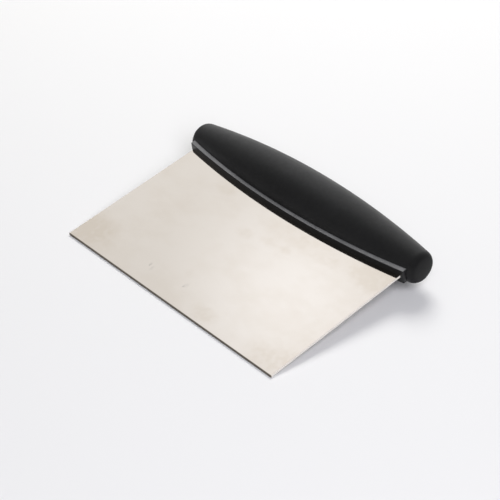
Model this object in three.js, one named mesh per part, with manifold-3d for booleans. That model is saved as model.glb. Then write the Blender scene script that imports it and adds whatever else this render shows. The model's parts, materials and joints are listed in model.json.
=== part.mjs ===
// Dough scraper: a flat steel blade riveted between the halves of a hard core, under a soft barrel grip.
// Millimetres, +Z up. It lies as on a bench, on the blade's front edge and the grip's belly.
import * as THREE from "three";
import { mergeVertices } from "three/addons/utils/BufferGeometryUtils.js";
import Module from "manifold-3d";

const wasm = await Module();
wasm.setup();

// Blade
const bladeWidth = 152.4; // along the front edge
const bladeThickness = 1.3;
const bladeReach = 80; // from the front edge to the rail, on the middle line
const bladeCornerCut = 0.4; // off each front corner

// Tang, the part of the blade inside the handle
const shoulderWidth = 11.2; // step in from the blade's side to the tang's side
const shoulderReach = 6.6; // from the grip's axis forward to the step
const tangCover = 2.2; // core left behind the tang's back corners

// Rail, the rim of the core that shows along the blade
const railProud = 1.4; // rail's front ahead of the grip's, on the middle line
const railEndProud = 1.6; // and at the blade's sides
const railThickness = 8;
const railOverhang = 1.8; // past the blade's side at each end
const railCornerRadius = 0.5;
const railEdge = 0.4; // width of the bevel along the rail's edges

// Grip
const gripDiameter = 30.4; // at the middle
const gripEndDiameter = 16.1; // where the barrel's arc reaches the end face
const gripOverhang = 4; // past the rail at each end
const gripEdgeRadius = 4.4;
const gripWall = 3;

// Rivets through the core and the tang
const rivetDiameter = 4;
const rivetHeadDiameter = 7;
const rivetHeadHeight = 1.2;
const rivetEdge = 17; // from the tang's side in to the outer rivets
const rivetCover = 1; // from the outer rivets' heads out to the core's surface

const fit = 0.3; // gap between pieces that seat on each other

// Fineness of the round surfaces
const roundSteps = 40;
const barrelSteps = 16;
const cornerSteps = 4;
const rivetSteps = 24;

// Worked out from the above
const railHalf = bladeWidth / 2 + railOverhang;
const gripHalf = railHalf + gripOverhang;
const gripRadius = gripDiameter / 2;
const gripArc = arcRadius(gripHalf, gripRadius - gripEndDiameter / 2);
const railReach = gripRadius + railProud; // from the grip's axis forward to the rail's front
const railEndReach = barrelRadius(bladeWidth / 2, 0) + railEndProud;
const railArc = arcRadius(bladeWidth / 2, railReach - railEndReach);
const gripSetback = bladeReach + railReach; // from the front edge back to the grip's axis
const coreInset = gripWall + fit;
const tangHalf = bladeWidth / 2 - shoulderWidth;
const tangDepth = barrelRadius(tangHalf, coreInset) - tangCover; // from the grip's axis back
const rivetPitch = tangHalf - rivetEdge;
const rivetTop = barrelRadius(rivetPitch, coreInset) - rivetCover; // from the blade's middle plane
const rivetSeat = rivetTop - rivetHeadHeight;
const rivetPlaces = { left: -rivetPitch, middle: 0, right: rivetPitch };

// Radius of the arc that rises by a given height over half a chord.
function arcRadius(halfChord, rise) {
  return (halfChord ** 2 + rise ** 2) / (2 * rise);
}

// Radius of the barrel, or of a surface inset from it, at a distance from its middle.
function barrelRadius(along, inset) {
  return gripRadius - gripArc + Math.sqrt((gripArc - inset) ** 2 - along ** 2);
}

// Angles from one to another in equal steps, both included.
function sweep(from, to, steps) {
  return Array.from({ length: steps + 1 }, (_, step) => from + ((to - from) * step) / steps);
}

// A large arc between two straight walls, its corners with them rounded. Points run from wall to wall,
// x across from the middle and y out from the large arc's centre.
function roundedArc(arc, half, radius) {
  const across = half - radius;
  const out = Math.sqrt((arc - radius) ** 2 - across ** 2);
  const lean = Math.atan2(across, out);
  const point = (x, y, reach, angle) => {
    return new THREE.Vector2(x + reach * Math.sin(angle), y + reach * Math.cos(angle));
  };
  const left = sweep(-Math.PI / 2, -lean, cornerSteps).map((angle) => point(-across, out, radius, angle));
  const middle = sweep(-lean, lean, barrelSteps).slice(1, -1).map((angle) => point(0, 0, arc, angle));
  const right = sweep(lean, Math.PI / 2, cornerSteps).map((angle) => point(across, out, radius, angle));
  return [...left, ...middle, ...right];
}

function solidOf(geometry) {
  geometry.deleteAttribute("normal");
  geometry.deleteAttribute("uv");
  const merged = mergeVertices(geometry);
  const mesh = new wasm.Mesh({
    numProp: 3,
    vertProperties: merged.getAttribute("position").array,
    triVerts: new Uint32Array(merged.index.array),
  });
  return new wasm.Manifold(mesh);
}

function geometryOf(solid) {
  const mesh = solid.getMesh();
  const geometry = new THREE.BufferGeometry();
  geometry.setAttribute("position", new THREE.BufferAttribute(mesh.vertProperties, 3));
  geometry.setIndex(new THREE.BufferAttribute(mesh.triVerts, 1));
  geometry.computeVertexNormals();
  return geometry;
}

// A flat plate of a plan, standing equally to both sides of the blade's middle plane.
function plate(plan, thickness, bevel = 0) {
  const geometry = new THREE.ExtrudeGeometry(plan, {
    depth: thickness - 2 * bevel,
    bevelEnabled: bevel > 0,
    bevelThickness: bevel,
    bevelSize: bevel,
    bevelOffset: -bevel,
    bevelSegments: 1,
    curveSegments: rivetSteps / 2,
  });
  return geometry.translate(0, 0, bevel - thickness / 2);
}

// The grip's barrel about the X axis, or the same form inset all round.
function barrel(inset) {
  const half = gripHalf - inset;
  const edge = Math.max(gripEdgeRadius - inset, fit);
  const centre = gripRadius - gripArc;
  const side = roundedArc(gripArc - inset, half, edge);
  const outline = [
    new THREE.Vector2(0, -half),
    ...side.map((point) => new THREE.Vector2(centre + point.y, point.x)),
    new THREE.Vector2(0, half),
  ];
  return new THREE.LatheGeometry(outline, roundSteps).rotateZ(-Math.PI / 2);
}

// The rail's plan, from its bowed front back to the grip's axis, grown all round by a clearance.
function railPlan(grow) {
  const half = railHalf + grow;
  const centre = railArc - railReach;
  const front = roundedArc(railArc + grow, half, railCornerRadius + grow);
  return new THREE.Shape([
    new THREE.Vector2(-half, 0),
    ...front.map((point) => new THREE.Vector2(point.x, centre - point.y)),
    new THREE.Vector2(half, 0),
  ]);
}

// The bare blade's plan, from its front edge to the rail. The grip's axis is y = 0.
function bladePlan() {
  const side = bladeWidth / 2;
  const plan = new THREE.Shape();
  plan.moveTo(-side, bladeCornerCut - gripSetback);
  plan.lineTo(bladeCornerCut - side, -gripSetback);
  plan.lineTo(side - bladeCornerCut, -gripSetback);
  plan.lineTo(side, bladeCornerCut - gripSetback);
  plan.lineTo(side, -railReach - fit);
  plan.lineTo(-side, -railReach - fit);
  plan.closePath();
  return plan;
}

// The stepped end of the blade that the handle holds, grown by a clearance at the sides and the back.
function tangPlan(grow) {
  const side = bladeWidth / 2 + grow;
  const step = grow - shoulderReach;
  const tangSide = tangHalf + grow;
  const back = tangDepth + grow;
  const plan = new THREE.Shape();
  plan.moveTo(-side, -railReach - fit);
  plan.lineTo(side, -railReach - fit);
  plan.lineTo(side, step);
  plan.lineTo(tangSide, step);
  plan.lineTo(tangSide, back);
  plan.lineTo(-tangSide, back);
  plan.lineTo(-tangSide, step);
  plan.lineTo(-side, step);
  plan.closePath();
  return plan;
}

// Bare blade and tang in one piece, with a hole for each rivet.
function makeBlade() {
  const tang = tangPlan(0);
  for (const x of Object.values(rivetPlaces)) {
    const hole = new THREE.Path();
    hole.absarc(x, 0, rivetDiameter / 2 + fit, 0, 2 * Math.PI, true);
    tang.holes.push(hole);
  }
  const bare = solidOf(plate(bladePlan(), bladeThickness));
  return geometryOf(bare.add(solidOf(plate(tang, bladeThickness))));
}

// Upright round bar on a rivet's line, between two heights.
function post(x, radius, low, high) {
  const geometry = new THREE.CylinderGeometry(radius, radius, high - low, rivetSteps);
  return geometry.rotateX(Math.PI / 2).translate(x, 0, (low + high) / 2);
}

// Both halves of the core: barrel and rail, less the tang's slot and the rivets' holes and head pockets.
function makeCore() {
  let core = solidOf(barrel(coreInset)).add(solidOf(plate(railPlan(0), railThickness, railEdge)));
  core = core.subtract(solidOf(plate(tangPlan(fit), bladeThickness + 2 * fit)));
  for (const x of Object.values(rivetPlaces)) {
    const hole = post(x, rivetDiameter / 2 + fit, -gripRadius, gripRadius);
    const upperPocket = post(x, rivetHeadDiameter / 2 + fit, rivetSeat - fit, gripRadius);
    const lowerPocket = post(x, rivetHeadDiameter / 2 + fit, -gripRadius, fit - rivetSeat);
    for (const cut of [hole, upperPocket, lowerPocket]) {
      core = core.subtract(solidOf(cut));
    }
  }
  return core;
}

// One half of the core, above or below the blade's middle plane.
function makeCoreHalf(core, side) {
  const keep = new THREE.BoxGeometry(2 * gripHalf, 2 * gripSetback, gripDiameter);
  keep.translate(0, 0, (side * (gripDiameter + fit)) / 2);
  return geometryOf(core.intersect(solidOf(keep)));
}

// Soft skin over the core, open only where the rail comes out.
function makeGrip() {
  const slot = plate(railPlan(fit), railThickness + 2 * fit);
  const skin = solidOf(barrel(0)).subtract(solidOf(barrel(gripWall))).subtract(solidOf(slot));
  return geometryOf(skin);
}

// Plain bar with a flat head at each end.
function makeRivet() {
  const shank = rivetDiameter / 2;
  const head = rivetHeadDiameter / 2;
  const outline = [
    new THREE.Vector2(0, -rivetTop),
    new THREE.Vector2(head, -rivetTop),
    new THREE.Vector2(head, -rivetSeat),
    new THREE.Vector2(shank, -rivetSeat),
    new THREE.Vector2(shank, rivetSeat),
    new THREE.Vector2(head, rivetSeat),
    new THREE.Vector2(head, rivetTop),
    new THREE.Vector2(0, rivetTop),
  ];
  return new THREE.LatheGeometry(outline, rivetSteps).rotateX(Math.PI / 2);
}

function piece(name, geometry, finish) {
  const mesh = new THREE.Mesh(geometry, new THREE.MeshStandardMaterial(finish));
  mesh.name = name;
  return mesh;
}

const steel = { color: 0xd8d1c9, roughness: 0.22, metalness: 1 };
const hardPlastic = { color: 0x1c1c1d, roughness: 0.35, metalness: 0 };
const softGrip = { color: 0x141415, roughness: 0.6, metalness: 0 };
const rivetMetal = { color: 0xb9bbbd, roughness: 0.4, metalness: 1 };

// The scraper about the grip's axis, with the blade level
const scraper = new THREE.Group();
const core = makeCore();
scraper.add(
  piece("blade", makeBlade(), steel),
  piece("core_upper", makeCoreHalf(core, 1), hardPlastic),
  piece("core_lower", makeCoreHalf(core, -1), hardPlastic),
  piece("grip_sleeve", makeGrip(), softGrip),
);
for (const [place, x] of Object.entries(rivetPlaces)) {
  const rivet = piece("tang_rivet_" + place, makeRivet(), rivetMetal);
  rivet.position.x = x;
  scraper.add(rivet);
}

// Leaning back on its belly: the floor runs from the blade's lower front edge to the underside of the grip
const halfThickness = bladeThickness / 2;
const frontToAxis = Math.hypot(gripSetback, halfThickness);
const tilt = Math.asin(gripRadius / frontToAxis) - Math.atan2(halfThickness, gripSetback);
const frontToBack = gripSetback * Math.cos(tilt) + gripRadius + halfThickness * Math.sin(tilt);
scraper.rotation.x = tilt;
scraper.position.set(0, frontToBack / 2 - gripRadius, gripRadius);

const doughScraper = new THREE.Group();
doughScraper.add(scraper);

export default doughScraper;
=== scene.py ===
import json
import math

import bmesh
import bpy
from mathutils import Matrix, Quaternion, Vector


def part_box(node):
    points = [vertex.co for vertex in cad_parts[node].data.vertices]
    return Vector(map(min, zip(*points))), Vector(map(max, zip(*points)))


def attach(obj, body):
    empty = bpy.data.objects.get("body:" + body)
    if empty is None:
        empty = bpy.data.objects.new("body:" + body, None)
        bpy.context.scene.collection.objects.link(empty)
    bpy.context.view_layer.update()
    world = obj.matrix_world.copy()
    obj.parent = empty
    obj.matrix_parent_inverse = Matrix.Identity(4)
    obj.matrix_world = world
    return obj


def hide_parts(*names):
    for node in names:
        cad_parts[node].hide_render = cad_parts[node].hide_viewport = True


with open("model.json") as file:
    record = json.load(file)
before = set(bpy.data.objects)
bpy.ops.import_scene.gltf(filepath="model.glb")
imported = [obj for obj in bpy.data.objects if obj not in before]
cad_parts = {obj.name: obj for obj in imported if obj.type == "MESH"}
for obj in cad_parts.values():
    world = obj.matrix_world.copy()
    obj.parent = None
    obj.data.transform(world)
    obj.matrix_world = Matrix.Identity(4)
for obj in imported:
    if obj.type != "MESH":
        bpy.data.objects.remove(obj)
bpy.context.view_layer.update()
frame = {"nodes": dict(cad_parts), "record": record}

mm = 0.001


# An output socket of a node tree. Sums and products written on it add Math nodes.
class Wire:
    def __init__(self, nodes, socket):
        self.nodes = nodes
        self.socket = socket

    def other(self, name):  # another output of the same node
        return Wire(self.nodes, self.socket.node.outputs[name])

    def __add__(self, value):
        return self.nodes.maths("ADD", self, value)

    def __sub__(self, value):
        return self.nodes.maths("SUBTRACT", self, value)

    def __rsub__(self, value):
        return self.nodes.maths("SUBTRACT", value, self)

    def __mul__(self, value):
        return self.nodes.maths("MULTIPLY", self, value)

    def __truediv__(self, value):
        return self.nodes.maths("DIVIDE", self, value)

    def __lt__(self, value):
        return self.nodes.maths("LESS_THAN", self, value)

    __radd__ = __add__
    __rmul__ = __mul__


class Nodes:
    measures = ("DOT_PRODUCT", "LENGTH", "DISTANCE")  # vector maths that gives a number

    def __init__(self, tree):
        self.tree = tree
        tree.nodes.clear()

    # Every node comes from here: settings first, then values or links by socket name or number
    def node(self, kind, settings=None, sockets=None, out=0):
        made = self.tree.nodes.new(kind)
        for name, value in (settings or {}).items():
            setattr(made, name, value)
        for name, value in (sockets or {}).items():
            if isinstance(value, Wire):
                self.tree.links.new(value.socket, made.inputs[name])
            else:
                made.inputs[name].default_value = value
        return Wire(self, made.outputs[out]) if made.outputs else made

    def maths(self, operation, *values):
        return self.node("ShaderNodeMath", {"operation": operation}, dict(enumerate(values)))

    def vectors(self, operation, *values):
        out = "Value" if operation in self.measures else "Vector"
        return self.node("ShaderNodeVectorMath", {"operation": operation}, dict(enumerate(values)), out)

    def part(self, vector, axis):
        return self.node("ShaderNodeSeparateXYZ", {}, {"Vector": vector}, axis)

    def blend(self, factor, first, second):
        return self.node("ShaderNodeMix", {"data_type": "RGBA"}, {0: factor, 6: first, 7: second}, out=2)

    # 0 to 1 as value goes from low to high, eased at both ends
    def ease(self, value, low, high, fromValue=0.0, toValue=1.0):
        sockets = {0: value, 1: low, 2: high, 3: fromValue, 4: toValue}
        return self.node("ShaderNodeMapRange", {"interpolation_type": "SMOOTHSTEP"}, sockets)

    def noise(self, vector, scale, detail=2.0, roughness=0.5):
        sockets = {"Vector": vector, "Scale": scale, "Detail": detail, "Roughness": roughness}
        return self.node("ShaderNodeTexNoise", {}, sockets)

    def stretched(self, vector, size, turn=(0, 0, 0)):
        return self.node("ShaderNodeMapping", {}, {"Vector": vector, "Rotation": turn, "Scale": size})


# Handle frame: origin on the grip's axis, X along it, Y back from the front edge, Z square to the blade
mounts = {mount["name"]: Vector(mount["axis"]) for mount in frame["record"]["mounts"]}
bladeUp = mounts["blade_upper_face"].normalized()
handleBack = -mounts["front_edge"].normalized()
gripLow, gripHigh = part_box("grip_sleeve")
gripRadius = (gripHigh.z - gripLow.z) / 2
gripHalf = (gripHigh.x - gripLow.x) / 2
gripCentre = Vector((0, gripHigh.y - gripRadius, gripLow.z + gripRadius))
tilt = math.atan2(handleBack.z, handleBack.y)
handlePlace = Matrix.Translation(gripCentre) @ Matrix.Rotation(tilt, 4, "X")


def newMaterial(name):
    material = bpy.data.materials.new(name)
    material.use_nodes = True
    return material, Nodes(material.node_tree)


def finishMaterial(nodes, shader):
    nodes.node("ShaderNodeOutputMaterial", {}, {"Surface": shader})


def pieceSpace(nodes):  # object coordinates turned to lie along the blade and the grip
    found = nodes.node("ShaderNodeTexCoord", out="Object")
    return nodes.node("ShaderNodeMapping", {"vector_type": "TEXTURE"}, {
        "Vector": found,
        "Location": gripCentre,
        "Rotation": (tilt, 0, 0),
    })


def show(name, mesh):
    piece = bpy.data.objects.new(name, mesh)
    bpy.context.scene.collection.objects.link(piece)
    return piece


def settle(piece):  # the evaluated shape becomes the piece's own mesh
    graph = bpy.context.evaluated_depsgraph_get()
    mesh = bpy.data.meshes.new_from_object(piece.evaluated_get(graph))
    piece.modifiers.clear()
    piece.data = mesh
    return piece


def carve(piece, tool, operation="DIFFERENCE"):
    modifier = piece.modifiers.new("carve", "BOOLEAN")
    modifier.solver = "EXACT"
    modifier.operation = operation
    modifier.object = tool
    settle(piece)
    bpy.data.objects.remove(tool)


def sweep(start, stop, steps):
    return [start + (stop - start) * step / steps for step in range(steps + 1)]


# Rings of one plan at rising heights, joined up and closed at both ends. Sizes in mm, in the handle frame.
def loft(name, plan, levels):
    shape = bmesh.new()
    rings = []
    for height, inset in levels:
        rings.append([shape.verts.new((x * mm, y * mm, height * mm)) for x, y in plan(inset)])
    for lower, upper in zip(rings, rings[1:]):
        for index in range(len(lower)):
            after = (index + 1) % len(lower)
            shape.faces.new((lower[index], lower[after], upper[after], upper[index]))
    shape.faces.new(rings[0][::-1])
    shape.faces.new(rings[-1])
    bmesh.ops.recalc_face_normals(shape, faces=shape.faces)
    mesh = bpy.data.meshes.new(name)
    shape.to_mesh(mesh)
    shape.free()
    return show(name, mesh)


def straightLevels(half, inset=0):
    return [(-half, inset), (half, inset)]


def roundedLevels(thickness, radius, steps):
    quarter = sweep(0, math.pi / 2, steps)
    straight = thickness / 2 - radius
    top = [(straight + radius * math.sin(turn), radius - radius * math.cos(turn)) for turn in quarter]
    return [(-height, inset) for height, inset in top[::-1]] + top


def finishPiece(piece, material, smoothAngle, slot, *cadNodes):
    piece.data.transform(handlePlace)
    piece.data.materials.clear()
    piece.data.materials.append(material)
    piece.data.shade_smooth()
    piece.data.set_sharp_from_angle(angle=math.radians(smoothAngle))
    even = piece.modifiers.new("evenShading", "WEIGHTED_NORMAL")
    even.weight = 100  # the large faces decide, so that they stay flat beside rounded edges
    even.keep_sharp = True
    settle(piece)
    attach(piece, "root")
    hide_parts(*cadNodes)
    print(piece.name + ":", len(piece.data.polygons), "faces")


rail = {
    "half": 78.0,
    "reach": 16.6,  # from the grip's axis forward to the rail's front
    "endReach": 10.632,  # and at the blade's sides
    "bladeHalf": 76.2,
    "thickness": 8.0,
    "cornerRadius": 0.5,
    "edgeRadius": 0.4,
    "gap": 0.12,  # between the rail and the soft skin
    "frontSteps": 96,
    "cornerSteps": 8,
    "edgeSteps": 5,
}


def arcRadius(halfChord, rise):
    return (halfChord ** 2 + rise ** 2) / (2 * rise)


railArc = arcRadius(rail["bladeHalf"], rail["reach"] - rail["endReach"])


# The rail's plan: bowed front, rounded corners, straight back on the grip's axis
def railPlan(inset):
    arc = railArc - inset
    half = rail["half"] - inset
    radius = rail["cornerRadius"] - inset
    across = half - radius
    out = math.sqrt((arc - radius) ** 2 - across ** 2)
    lean = math.atan2(across, out)
    centre = railArc - rail["reach"]
    points = [(-half, 0.0)]
    for turn in sweep(-math.pi / 2, -lean, rail["cornerSteps"]):
        points.append((-across + radius * math.sin(turn), centre - out - radius * math.cos(turn)))
    for turn in sweep(-lean, lean, rail["frontSteps"])[1:-1]:
        points.append((arc * math.sin(turn), centre - arc * math.cos(turn)))
    for turn in sweep(lean, math.pi / 2, rail["cornerSteps"]):
        points.append((across + radius * math.sin(turn), centre - out - radius * math.cos(turn)))
    points.append((half, 0.0))
    return points


gripRubberLook = {
    "colour": (0.0105, 0.0105, 0.0107, 1),
    "handledColour": (0.0135, 0.0135, 0.0137, 1),
    "handled": {"scale": 55, "detail": 4, "roughness": 0.6},
    "handledStretch": (0.6, 1, 1),
    "handledRange": (0.38, 0.7),
    "handledShine": 0.05,
    "roughness": 0.5,
    "specular": 0.1,
    "grain": {"scale": 1900, "detail": 3, "roughness": 0.6},
    "grainRoughness": 0.08,
    "grainBump": {"Strength": 0.3, "Distance": 0.04 * mm},
    "polish": 0.36,  # the barrel's shine from the hand, which fades on the end faces
    "polishRoughness": 0.43,
    "polishEnds": (77.5 * mm, 81 * mm),
    "mottle": {"scale": 420, "detail": 3, "roughness": 0.6},  # the shine is uneven
    "mottleLow": 0.65,
    "mottleSpread": 0.7,
}


def makeGripRubber(look):
    material, nodes = newMaterial("gripRubber")
    place = pieceSpace(nodes)
    cloud = nodes.noise(nodes.stretched(place, look["handledStretch"]), **look["handled"])
    grain = nodes.noise(place, **look["grain"])
    mottle = nodes.noise(place, **look["mottle"])
    handled = nodes.ease(cloud, *look["handledRange"])
    matte = nodes.ease(nodes.maths("ABSOLUTE", nodes.part(place, "X")), *look["polishEnds"])
    roughness = look["roughness"] - handled * look["handledShine"] + (grain - 0.5) * look["grainRoughness"]
    shader = nodes.node("ShaderNodeBsdfPrincipled", {}, {
        "Base Color": nodes.blend(handled, look["colour"], look["handledColour"]),
        "Roughness": roughness,
        "Specular IOR Level": look["specular"],
        "Coat Weight": (1 - matte) * (look["mottleLow"] + mottle * look["mottleSpread"]) * look["polish"],
        "Coat Roughness": look["polishRoughness"],
        "Normal": nodes.node("ShaderNodeBump", {}, {**look["grainBump"], "Height": grain}),
    })
    finishMaterial(nodes, shader)
    return material


grip = {
    "endRadius": 8.05,  # where the barrel's arc reaches the end face
    "edgeRadius": 4.4,
    "endDome": 0.8,  # how far the end face bulges
    "wall": 3.0,
    "leastRadius": 0.3,  # of the end caps, and of the hollow's edge
    "rings": 240,
    "segments": 144,
    "hollowRings": 70,
    "hollowSegments": 72,
    "smoothAngle": 30,
}


# The grip's barrel: a long arc turned about X, with rounded ends, or the same form inset all round
def makeBarrelTree():
    tree = bpy.data.node_groups.new("barrelByRule", "GeometryNodeTree")
    floats = ("Half Length", "Mid Radius", "End Radius", "Edge Radius", "End Dome", "Least Radius", "Inset")
    for name in floats:
        tree.interface.new_socket(name, in_out="INPUT", socket_type="NodeSocketFloat")
    for name in ("Rings", "Segments"):
        tree.interface.new_socket(name, in_out="INPUT", socket_type="NodeSocketInt")
    tree.interface.new_socket("Material", in_out="INPUT", socket_type="NodeSocketMaterial")
    tree.interface.new_socket("Geometry", in_out="OUTPUT", socket_type="NodeSocketGeometry")
    nodes = Nodes(tree)
    given = nodes.node("NodeGroupInput")
    half, middle, end, edge, dome, least, inset = [given.other(name) for name in floats]
    rise = middle - end
    fullArc = (half * half + rise * rise) / (2 * rise)
    centre = middle - fullArc
    arc = fullArc - inset
    reach = half - inset
    corner = nodes.maths("MAXIMUM", edge - inset, least)
    across = reach - corner
    out = nodes.maths("SQRT", (arc - corner) * (arc - corner) - across * across)
    meets = across * arc / (arc - corner)  # where the long arc runs into the rounded end

    line = nodes.node("GeometryNodeCurvePrimitiveLine", {}, {"End": (1, 0, 0)})
    line = nodes.node("GeometryNodeResampleCurve", {}, {"Curve": line, "Count": given.other("Rings")})
    along = nodes.node("GeometryNodeSplineParameter", out="Factor") * 2 - 1
    x = reach * nodes.maths("SINE", along * (math.pi / 2))  # rings close up towards the ends
    spot = nodes.node("ShaderNodeCombineXYZ", {}, {"X": x})
    line = nodes.node("GeometryNodeSetPosition", {}, {"Geometry": line, "Position": spot})

    away = nodes.maths("ABSOLUTE", nodes.part(nodes.node("GeometryNodeInputPosition"), "X"))
    side = centre + nodes.maths("SQRT", arc * arc - away * away)
    past = away - across
    turned = nodes.maths("SQRT", nodes.maths("MAXIMUM", corner * corner - past * past, 0.0))
    bulge = nodes.maths("MAXIMUM", (away - reach + dome) / dome, 0.0)
    face = (centre + out) * nodes.maths("SQRT", nodes.maths("MAXIMUM", 1 - bulge * bulge, 0.0))
    onSide = away < meets
    radius = side * onSide + (face + turned) * (1 - onSide)
    radius = nodes.maths("MAXIMUM", radius, least)

    circle = nodes.node("GeometryNodeCurvePrimitiveCircle", {}, {
        "Resolution": given.other("Segments"),
        "Radius": 1.0,
    })
    body = nodes.node("GeometryNodeCurveToMesh", {}, {
        "Curve": line,
        "Profile Curve": circle,
        "Scale": radius,
        "Fill Caps": True,
    })
    body = nodes.node("GeometryNodeRealizeInstances", {}, {"Geometry": body})
    body = nodes.node("GeometryNodeSetMaterial", {}, {
        "Geometry": body,
        "Material": given.other("Material"),
    })
    nodes.node("NodeGroupOutput", {}, {"Geometry": body})
    return tree


barrelTree = makeBarrelTree()


def growBarrel(name, inset, rings, segments, material):
    piece = show(name, bpy.data.meshes.new(name))
    modifier = piece.modifiers.new("barrel", "NODES")
    modifier.node_group = barrelTree
    values = {
        "Half Length": gripHalf,
        "Mid Radius": gripRadius,
        "End Radius": grip["endRadius"] * mm,
        "Edge Radius": grip["edgeRadius"] * mm,
        "End Dome": grip["endDome"] * mm,
        "Least Radius": grip["leastRadius"] * mm,
        "Inset": inset * mm,
        "Rings": rings,
        "Segments": segments,
        "Material": material,
    }
    for item in barrelTree.interface.items_tree:
        if item.name in values:
            modifier[item.identifier] = values[item.name]
    return settle(piece)


gripRubber = makeGripRubber(gripRubberLook)


def makeGrip():
    piece = growBarrel("softGrip", 0.0, grip["rings"], grip["segments"], gripRubber)
    hollow = growBarrel("hollow", grip["wall"], grip["hollowRings"], grip["hollowSegments"], gripRubber)
    carve(piece, hollow)
    slotHalf = rail["thickness"] / 2 + rail["gap"]
    carve(piece, loft("railSlot", railPlan, straightLevels(slotHalf, -rail["gap"])))
    finishPiece(piece, gripRubber, grip["smoothAngle"], "soft_grip", "grip_sleeve")


makeGrip()

blade = {
    "half": rail["bladeHalf"],
    "thickness": 1.3,
    "setback": 96.6,  # from the front edge back to the grip's axis
    "cornerRadius": 0.4,
    "cornerSteps": 6,
    "edgeRadius": 0.25,
    "edgeSteps": 3,
    "shoulder": -6.6,  # where the blade steps in to the tang
    "tangHalf": 65.0,
    "tangBack": 5.188,
    "smoothAngle": 35,
}
rivet = {
    "places": (-48.0, 0.0, 48.0),
    "holeRadius": 2.3,
    "headRadius": 3.8,
    "seat": 6.945,  # from the blade's middle out to the heads
    "drillHalf": 2.0,  # past both faces of the blade
    "pocketTop": 20.0,  # past the core's skin
    "segments": 48,
}

bladeSteelLook = {
    "colour": (0.688, 0.640, 0.587, 1),
    "roughness": 0.08,
    "smudgeAndShadeColour": (0.625, 0.565, 0.495, 1),
    "smudgeRoughness": 0.02,
    "smudgeRange": (0.4, 0.66),
    "smudgeDepth": 0.38,
    "smudgeLimit": 1.3,
    "cloud": {"scale": 24},
    "cloudStretch": (1, 1.5, 1),
    "cloudShare": 0.6,
    "patch": {"scale": 75},
    "patchStretch": (1, 1.4, 1),
    "patchTurn": (0, 0, 0.5),
    "patchShare": 0.4,
    "speckle": {"scale": 300},
    "speckleRange": (0.3, 0.65, 0.6, 1.0),
    "marks": (  # darker patches: middle and half sizes in mm from the grip's axis, and how dark; the small ones are handling marks, the large ones near the rail and at the corners are painted shade for darker reflections
        ((-5, -38), (8, 5), 0.5),
        ((9, -35), (9, 4), 0.4),
        ((20, -33.5), (5, 4.5), 0.6),
        ((22, -90), (12, 7), 0.7),
        ((-70, -88), (26, 18), 1.1),
        ((-38, -21), (10, 6), 0.5),
        ((72, -18), (26, 16), 1.1),
        ((28, -24), (44, 9), 0.6),
        ((74, -90), (30, 16), 0.8),
        ((80, -55), (34, 50), 0.3),
    ),
    "fleckColour": (0.36, 0.345, 0.325, 1),
    "flecks": (  # short grey scratches near the front edge, given in the same way
        ((-25, -84), (0.9, 1.6), 0.4),
        ((-22.5, -85.5), (1.6, 2.6), 0.14),
        ((0, -84), (0.8, 1.4), 0.4),
        ((0.8, -82.2), (1.5, 2.4), 0.12),
    ),
    "markFade": (1.0, 0.2),  # from the rim in to the core
    "ragged": {"scale": 420, "detail": 3, "roughness": 0.6},  # makes the marks' outlines uneven
    "raggedReach": 4 * mm,
    # painted shade on the front face of the cut steel, which is painted darker than the sides
    "frontShadeColour": (0.20, 0.176, 0.146, 1),
    "edgeRoughness": 0.5,
    "frontShadeRange": (0.2, 0.7),
    "edgeShadeBand": (0.7, 0.3),  # painted shade: the dark of the front edge is painted this far on to the faces, in mm
    "sideLightColour": (0.78, 0.74, 0.68, 1),  # painted light: the two sheared sides are painted bright and dull
    "sideRoughness": 0.2,
    "sideLightRange": (0.15, 0.5),
}


def coverage(nodes, place, marks, fade):  # how strongly a list of marks covers each point
    covers = []
    for middle, size, depth in marks:
        spot = nodes.node("ShaderNodeMapping", {"vector_type": "TEXTURE"}, {
            "Vector": place,
            "Location": (middle[0] * mm, middle[1] * mm, 0),
            "Scale": (size[0] * mm, size[1] * mm, 1),
        })
        covers.append(nodes.ease(nodes.vectors("LENGTH", spot), *fade) * depth)
    return sum(covers)


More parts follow.
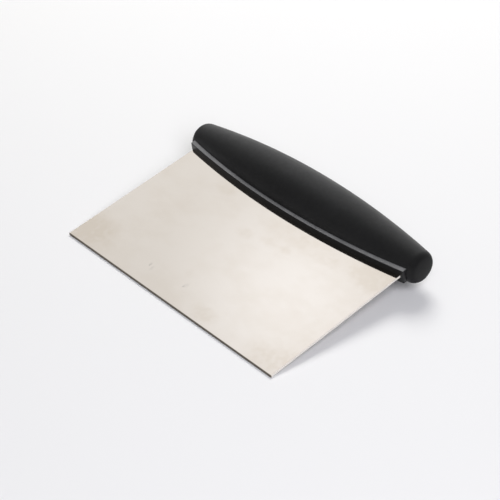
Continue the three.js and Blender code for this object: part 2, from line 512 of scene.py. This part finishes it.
def makeBladeSteel(look):
    material, nodes = newMaterial("bladeSteel")
    place = pieceSpace(nodes)
    cloud = nodes.noise(nodes.stretched(place, look["cloudStretch"]), **look["cloud"])
    patch = nodes.noise(nodes.stretched(place, look["patchStretch"], look["patchTurn"]), **look["patch"])
    clouds = cloud * look["cloudShare"] + patch * look["patchShare"]
    smudgeAndShade = nodes.ease(clouds, *look["smudgeRange"]) * look["smudgeDepth"]

    wander = nodes.noise(place, **look["ragged"]).other("Color")
    wander = nodes.vectors("SUBTRACT", wander, (0.5, 0.5, 0.5))
    ragged = nodes.vectors("MULTIPLY_ADD", wander, (look["raggedReach"], look["raggedReach"], 0), place)
    speckle = nodes.ease(nodes.noise(place, **look["speckle"]), *look["speckleRange"])
    # the large patches near the rail and at the corners are painted shade for darker reflections
    smudgeAndShade = smudgeAndShade + coverage(nodes, ragged, look["marks"], look["markFade"]) * speckle
    smudgeAndShade = nodes.maths("MINIMUM", smudgeAndShade, look["smudgeLimit"])
    fleck = nodes.maths("MINIMUM", coverage(nodes, ragged, look["flecks"], look["markFade"]), 1.0)

    facing = nodes.node("ShaderNodeNewGeometry", out="Normal")
    # painted shade: faces turned to the front, and a band of the faces beside the front edge, are painted
    # dark
    shadeBandEnds = [(band - blade["setback"]) * mm for band in look["edgeShadeBand"]]
    shadeBand = nodes.ease(nodes.part(place, "Y"), *shadeBandEnds)
    frontFaceShade = nodes.ease(nodes.vectors("DOT_PRODUCT", facing, -handleBack), *look["frontShadeRange"])
    paintedFrontShade = nodes.maths("MAXIMUM", frontFaceShade, shadeBand)
    # painted light: faces turned sideways are painted bright and not metallic
    sideways = nodes.maths("ABSOLUTE", nodes.part(facing, "X"))
    side = nodes.ease(sideways, *look["sideLightRange"]) * (1 - shadeBand)

    colour = nodes.blend(smudgeAndShade, look["colour"], look["smudgeAndShadeColour"])
    colour = nodes.blend(fleck, colour, look["fleckColour"])
    colour = nodes.blend(paintedFrontShade, colour, look["frontShadeColour"])
    colour = nodes.blend(side, colour, look["sideLightColour"])
    roughness = look["roughness"] + smudgeAndShade * look["smudgeRoughness"] + side * look["sideRoughness"]
    roughness = roughness + paintedFrontShade * (look["edgeRoughness"] - look["roughness"])
    shader = nodes.node("ShaderNodeBsdfPrincipled", {}, {
        "Base Color": colour,
        "Metallic": 1 - side,
        "Roughness": roughness,
    })
    finishMaterial(nodes, shader)
    return material


# The blade's outline as points with the way out of the plate at each, so that it can be inset
def bladeOutline():
    half, front, radius = blade["half"], -blade["setback"], blade["cornerRadius"]
    points = []
    for side, start in ((-1, math.pi), (1, 1.5 * math.pi)):
        for turn in sweep(start, start + math.pi / 2, blade["cornerSteps"]):
            outX, outY = math.cos(turn), math.sin(turn)
            x = side * (half - radius) + radius * outX
            y = front + radius + radius * outY
            points.append((x, y, outX, outY))
    step, tangHalf, back = blade["shoulder"], blade["tangHalf"], blade["tangBack"]
    points += [(half, step, 1, 1), (tangHalf, step, 1, 1), (tangHalf, back, 1, 1)]
    points += [(-tangHalf, back, -1, 1), (-tangHalf, step, -1, 1), (-half, step, -1, 1)]
    return points


def bladePlan(inset):
    return [(x - inset * outX, y - inset * outY) for x, y, outX, outY in bladeOutline()]


def circlePlan(x, radius):
    turns = sweep(0, 2 * math.pi, rivet["segments"])[:-1]
    return lambda inset: [
        (x + (radius - inset) * math.cos(turn), (radius - inset) * math.sin(turn)) for turn in turns
    ]


def makeBlade():
    levels = roundedLevels(blade["thickness"], blade["edgeRadius"], blade["edgeSteps"])
    piece = loft("bladePlate", bladePlan, levels)
    for x in rivet["places"]:
        drill = straightLevels(rivet["drillHalf"])
        carve(piece, loft("rivetHole", circlePlan(x, rivet["holeRadius"]), drill))
    finishPiece(piece, makeBladeSteel(bladeSteelLook), blade["smoothAngle"], "blade_steel", "blade")


makeBlade()

railPlasticLook = {
    "colour": (0.013, 0.013, 0.0135, 1),
    "litFaceColour": (0.122, 0.122, 0.124, 1),  # painted light: the two broad faces are painted a lighter satin grey, and the front and ends keep the dark colour as painted shade
    "litFaceRange": (0.75, 0.95),
    "rubbedColour": (0.165, 0.165, 0.167, 1),
    "rubbedRange": (0.4, 0.7),
    "cloud": {"scale": 90, "detail": 3, "roughness": 0.6},
    "cloudRoughness": 0.1,
    "roughness": 0.36,
    "specular": 0.3,
    "grain": {"scale": 2600},
    "grainBump": {"Strength": 0.15, "Distance": 0.02 * mm},
}


def makeRailPlastic(look):
    material, nodes = newMaterial("railPlastic")
    place = pieceSpace(nodes)
    cloud = nodes.noise(place, **look["cloud"])
    grain = nodes.noise(place, **look["grain"])
    rubbed = nodes.ease(cloud, *look["rubbedRange"])
    # painted light: faces turned along the blade's normal are painted lighter, the rest stays dark as
    # painted shade
    facing = nodes.node("ShaderNodeNewGeometry", out="Normal")
    level = nodes.maths("ABSOLUTE", nodes.vectors("DOT_PRODUCT", facing, bladeUp))
    litFaces = nodes.ease(level, *look["litFaceRange"])
    face = nodes.blend(rubbed, look["litFaceColour"], look["rubbedColour"])
    shader = nodes.node("ShaderNodeBsdfPrincipled", {}, {
        "Base Color": nodes.blend(litFaces, look["colour"], face),
        "Roughness": look["roughness"] + (cloud - 0.5) * look["cloudRoughness"],
        "Specular IOR Level": look["specular"],
        "Normal": nodes.node("ShaderNodeBump", {}, {**look["grainBump"], "Height": grain}),
    })
    finishMaterial(nodes, shader)
    return material


core = {
    "inset": 3.3,  # from the grip's skin in to the core's
    "parting": 0.05,  # hairline between the two halves
    "seat": 0.03,  # between the core and the blade
    "rings": 110,
    "segments": 96,
    "blockHalf": 100.0,  # of the block that takes one half away
    "smoothAngle": 30,
}


def blockPlan(inset):
    half = core["blockHalf"] - inset
    return [(-half, -half), (half, -half), (half, half), (-half, half)]


# Barrel and rail in one, less the tang's slot and the rivets' holes and head pockets, split at the blade
def makeCore():
    plastic = makeRailPlastic(railPlasticLook)
    whole = growBarrel("core", core["inset"], core["rings"], core["segments"], plastic)
    levels = roundedLevels(rail["thickness"], rail["edgeRadius"], rail["edgeSteps"])
    carve(whole, loft("railPlate", railPlan, levels), "UNION")
    slotHalf = blade["thickness"] / 2 + core["seat"]
    carve(whole, loft("tangSlot", bladePlan, straightLevels(slotHalf, -core["seat"])))
    neck = rivet["headRadius"] - rivet["holeRadius"]
    high, low = rivet["pocketTop"], rivet["seat"]
    bars = [(-high, 0), (-low, 0), (-low, neck), (low, neck), (low, 0), (high, 0)]
    for x in rivet["places"]:
        carve(whole, loft("rivetBar", circlePlan(x, rivet["headRadius"]), bars))
    for name, node, side in (("coreUpper", "core_upper", 1), ("coreLower", "core_lower", -1)):
        half = show(name, whole.data.copy())
        ends = sorted((-side * core["blockHalf"], side * core["parting"] / 2))
        carve(half, loft("otherHalf", blockPlan, [(end, 0) for end in ends]))
        finishPiece(half, plastic, core["smoothAngle"], "hard_plastic", node)
    bpy.data.objects.remove(whole)


makeCore()

rivetMetalLook = {
    "colour": (0.50, 0.50, 0.51, 1),
    "dullColour": (0.36, 0.36, 0.37, 1),
    "dull": {"scale": 400, "detail": 3, "roughness": 0.6},
    "dullRange": (0.4, 0.7),
    "dullRoughness": 0.12,
    "roughness": 0.38,
}


def makeRivetMetal(look):
    material, nodes = newMaterial("rivetMetal")
    dull = nodes.ease(nodes.noise(pieceSpace(nodes), **look["dull"]), *look["dullRange"])
    shader = nodes.node("ShaderNodeBsdfPrincipled", {}, {
        "Base Color": nodes.blend(dull, look["colour"], look["dullColour"]),
        "Metallic": 1.0,
        "Roughness": look["roughness"] + dull * look["dullRoughness"],
    })
    finishMaterial(nodes, shader)
    return material


rivetMetal = makeRivetMetal(rivetMetalLook)
for name in ("tang_rivet_left", "tang_rivet_middle", "tang_rivet_right"):
    bars = frame["nodes"][name]
    bars.data.materials.clear()
    bars.data.materials.append(rivetMetal)
print("rivets: as in the frame")

stage = {
    "floorSize": 8.0,
    # painted light: the floor's colour runs lighter towards the back and left
    "nearFloor": (0.795, 0.795, 0.80, 1),
    "farFloor": (0.912, 0.912, 0.915, 1),
    "floorLean": (-0.58, 0.815, 0),
    "floorRange": (-0.4, 0.6),
    "floorRoughness": 0.7,
    "floorSpecular": 0.2,
    "fill": (0.16, 0.16, 0.162, 1),  # even light from all round
    "lowSky": (0.19, 0.19, 0.19, 1),  # what the camera sees and shiny surfaces mirror
    "highSky": (1.28, 1.28, 1.28, 1),
    "skyLean": (-0.526, 0.81, 0.259),
    "skyRange": (0.1, 1.05),
}


def makeFloor():
    material, nodes = newMaterial("paleFloor")
    place = nodes.node("ShaderNodeTexCoord", out="Object")
    # painted light: the floor is painted lighter towards the back and left
    back = nodes.ease(nodes.vectors("DOT_PRODUCT", place, stage["floorLean"]), *stage["floorRange"])
    shader = nodes.node("ShaderNodeBsdfPrincipled", {}, {
        "Base Color": nodes.blend(back, stage["nearFloor"], stage["farFloor"]),
        "Roughness": stage["floorRoughness"],
        "Specular IOR Level": stage["floorSpecular"],
    })
    finishMaterial(nodes, shader)
    shape = bmesh.new()
    bmesh.ops.create_grid(shape, x_segments=1, y_segments=1, size=stage["floorSize"] / 2)
    mesh = bpy.data.meshes.new("paleFloor")
    shape.to_mesh(mesh)
    shape.free()
    mesh.materials.append(material)
    show("paleFloor", mesh)


def makeSky():
    world = bpy.data.worlds.new("studio")
    world.use_nodes = True
    bpy.context.scene.world = world
    nodes = Nodes(world.node_tree)
    way = nodes.node("ShaderNodeTexCoord", out="Generated")
    height = nodes.vectors("DOT_PRODUCT", way, Vector(stage["skyLean"]).normalized())
    backdrop = nodes.blend(nodes.ease(height, *stage["skyRange"]), stage["lowSky"], stage["highSky"])
    ray = nodes.node("ShaderNodeLightPath", out="Is Camera Ray")
    seen = nodes.maths("MAXIMUM", ray, ray.other("Is Glossy Ray"))
    glow = nodes.node("ShaderNodeBackground", {}, {"Color": nodes.blend(seen, stage["fill"], backdrop)})
    nodes.node("ShaderNodeOutputWorld", {}, {"Surface": glow})


# Two softboxes light the floor and the soft parts, and the steel mirrors the sky and a small card
lamps = (
    {
        "name": "leftSoftbox",
        "place": (-0.53, 0.57, 0.965),
        "aim": (0, 0, 0),
        "size": 0.7,
        "radiance": 6.56,
        "colour": (1.0, 0.99, 0.95),
        "hidden": "visible_glossy",
    },
    {
        "name": "rightSoftbox",
        "place": (0.92, -0.50, 0.99),
        "aim": (0, 0, 0),
        "size": 1.0,
        "radiance": 5.15,
        "colour": (0.945, 0.945, 1.0),
        "hidden": "visible_glossy",
    },
    {
        "name": "card",
        "place": (-0.1122, 0.0798, 0.2369),
        "aim": (0.0570, -0.0165, 0.0072),
        "size": 0.22,
        "radiance": 0.258,
        "colour": (0.93, 1.0, 1.14),
        "hidden": "visible_diffuse",
        "fade": (0.5, 0.04),  # dark at the rim and brightest in the middle, as shares of its size
    },
)


def fadeOut(light, fade):
    light.use_nodes = True
    nodes = Nodes(light.node_tree)
    across = nodes.node("ShaderNodeNewGeometry", out="Parametric")
    away = nodes.vectors("DISTANCE", across, (0.5, 0.5, 0))
    glow = nodes.node("ShaderNodeEmission", {}, {"Strength": nodes.ease(away, *fade)})
    nodes.node("ShaderNodeOutputLight", {}, {"Surface": glow})


def makeLamps():
    for lamp in lamps:
        light = bpy.data.lights.new(lamp["name"], "AREA")
        light.shape = "DISK"
        light.size = lamp["size"]
        light.energy = lamp["radiance"] * math.pi * light.size ** 2
        light.color = lamp["colour"]
        if "fade" in lamp:
            fadeOut(light, lamp["fade"])
        holder = bpy.data.objects.new(lamp["name"], light)
        holder.location = lamp["place"]
        away = Vector(lamp["place"]) - Vector(lamp["aim"])
        holder.rotation_euler = away.to_track_quat("Z", "Y").to_euler()
        setattr(holder, lamp["hidden"], False)
        bpy.context.scene.collection.objects.link(holder)


makeFloor()
makeSky()
makeLamps()
print("stage: floor, sky and", len(lamps), "lamps")

view = {
    "lens": 118.11,
    "sensor": 36.0,
    "nearest": 0.01,
    "elevation": 36.897,
    "turn": 48.441,
    "roll": -1.116,
    "distance": 0.815949,
    "aim": (0.005793, -0.004078, 0.008643),
}


def makeCamera():
    turn, rise = math.radians(view["turn"]), math.radians(view["elevation"])
    back = Vector((math.sin(turn) * math.cos(rise), -math.cos(turn) * math.cos(rise), math.sin(rise)))
    lens = bpy.data.cameras.new("viewCamera")
    lens.lens = view["lens"]
    lens.sensor_width = view["sensor"]
    lens.clip_start = view["nearest"]
    holder = bpy.data.objects.new("viewCamera", lens)
    holder.rotation_mode = "QUATERNION"
    holder.location = Vector(view["aim"]) + back * view["distance"]
    level = back.to_track_quat("Z", "Y")
    holder.rotation_quaternion = level @ Quaternion((0, 0, 1), math.radians(view["roll"]))
    bpy.context.scene.collection.objects.link(holder)
    bpy.context.scene.camera = holder


makeCamera()
bpy.context.scene.view_settings.view_transform = "Standard"
print("camera set")
